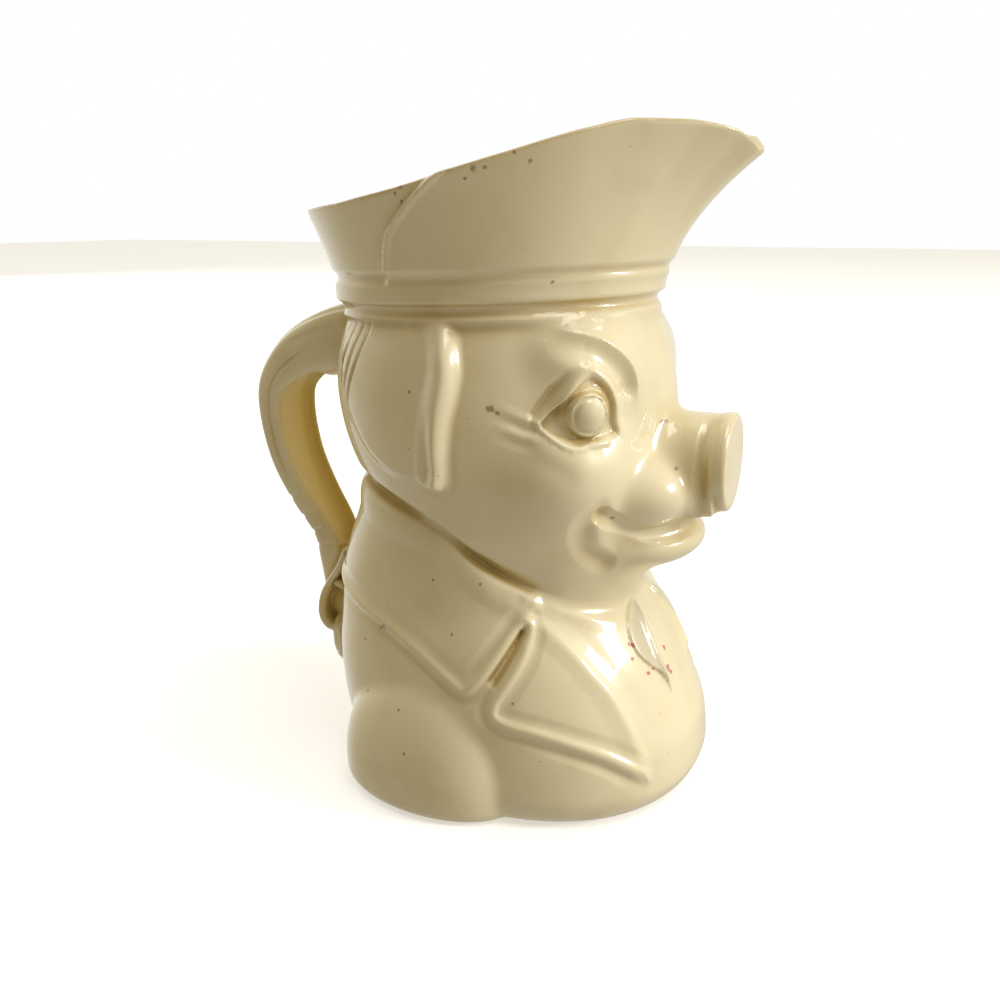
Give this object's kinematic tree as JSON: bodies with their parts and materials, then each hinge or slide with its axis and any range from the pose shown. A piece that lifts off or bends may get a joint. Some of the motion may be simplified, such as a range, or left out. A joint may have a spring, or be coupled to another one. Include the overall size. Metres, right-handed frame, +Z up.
{
  "type": "toby jug",
  "caption": "Hollow figural pitcher shaped as a pig in a coat and brimmed hat, with an open hat-brim mouth, a front pouring lip and a looped hair-queue handle behind.",
  "frame": {"origin": "middle of the flat underside of the foot", "axes": "+Z up out of the open hat, -Y toward the pig's snout, +X toward the pig's left hand"},
  "size_m": [0.1237, 0.1705, 0.2002],
  "materials": {
    "glaze": "glossy ivory glaze with soft yellow pooling in the recesses"
  },
  "bodies": {
    "root": {"pig_toby_jug": "glaze"}
  },
  "joints": []
}
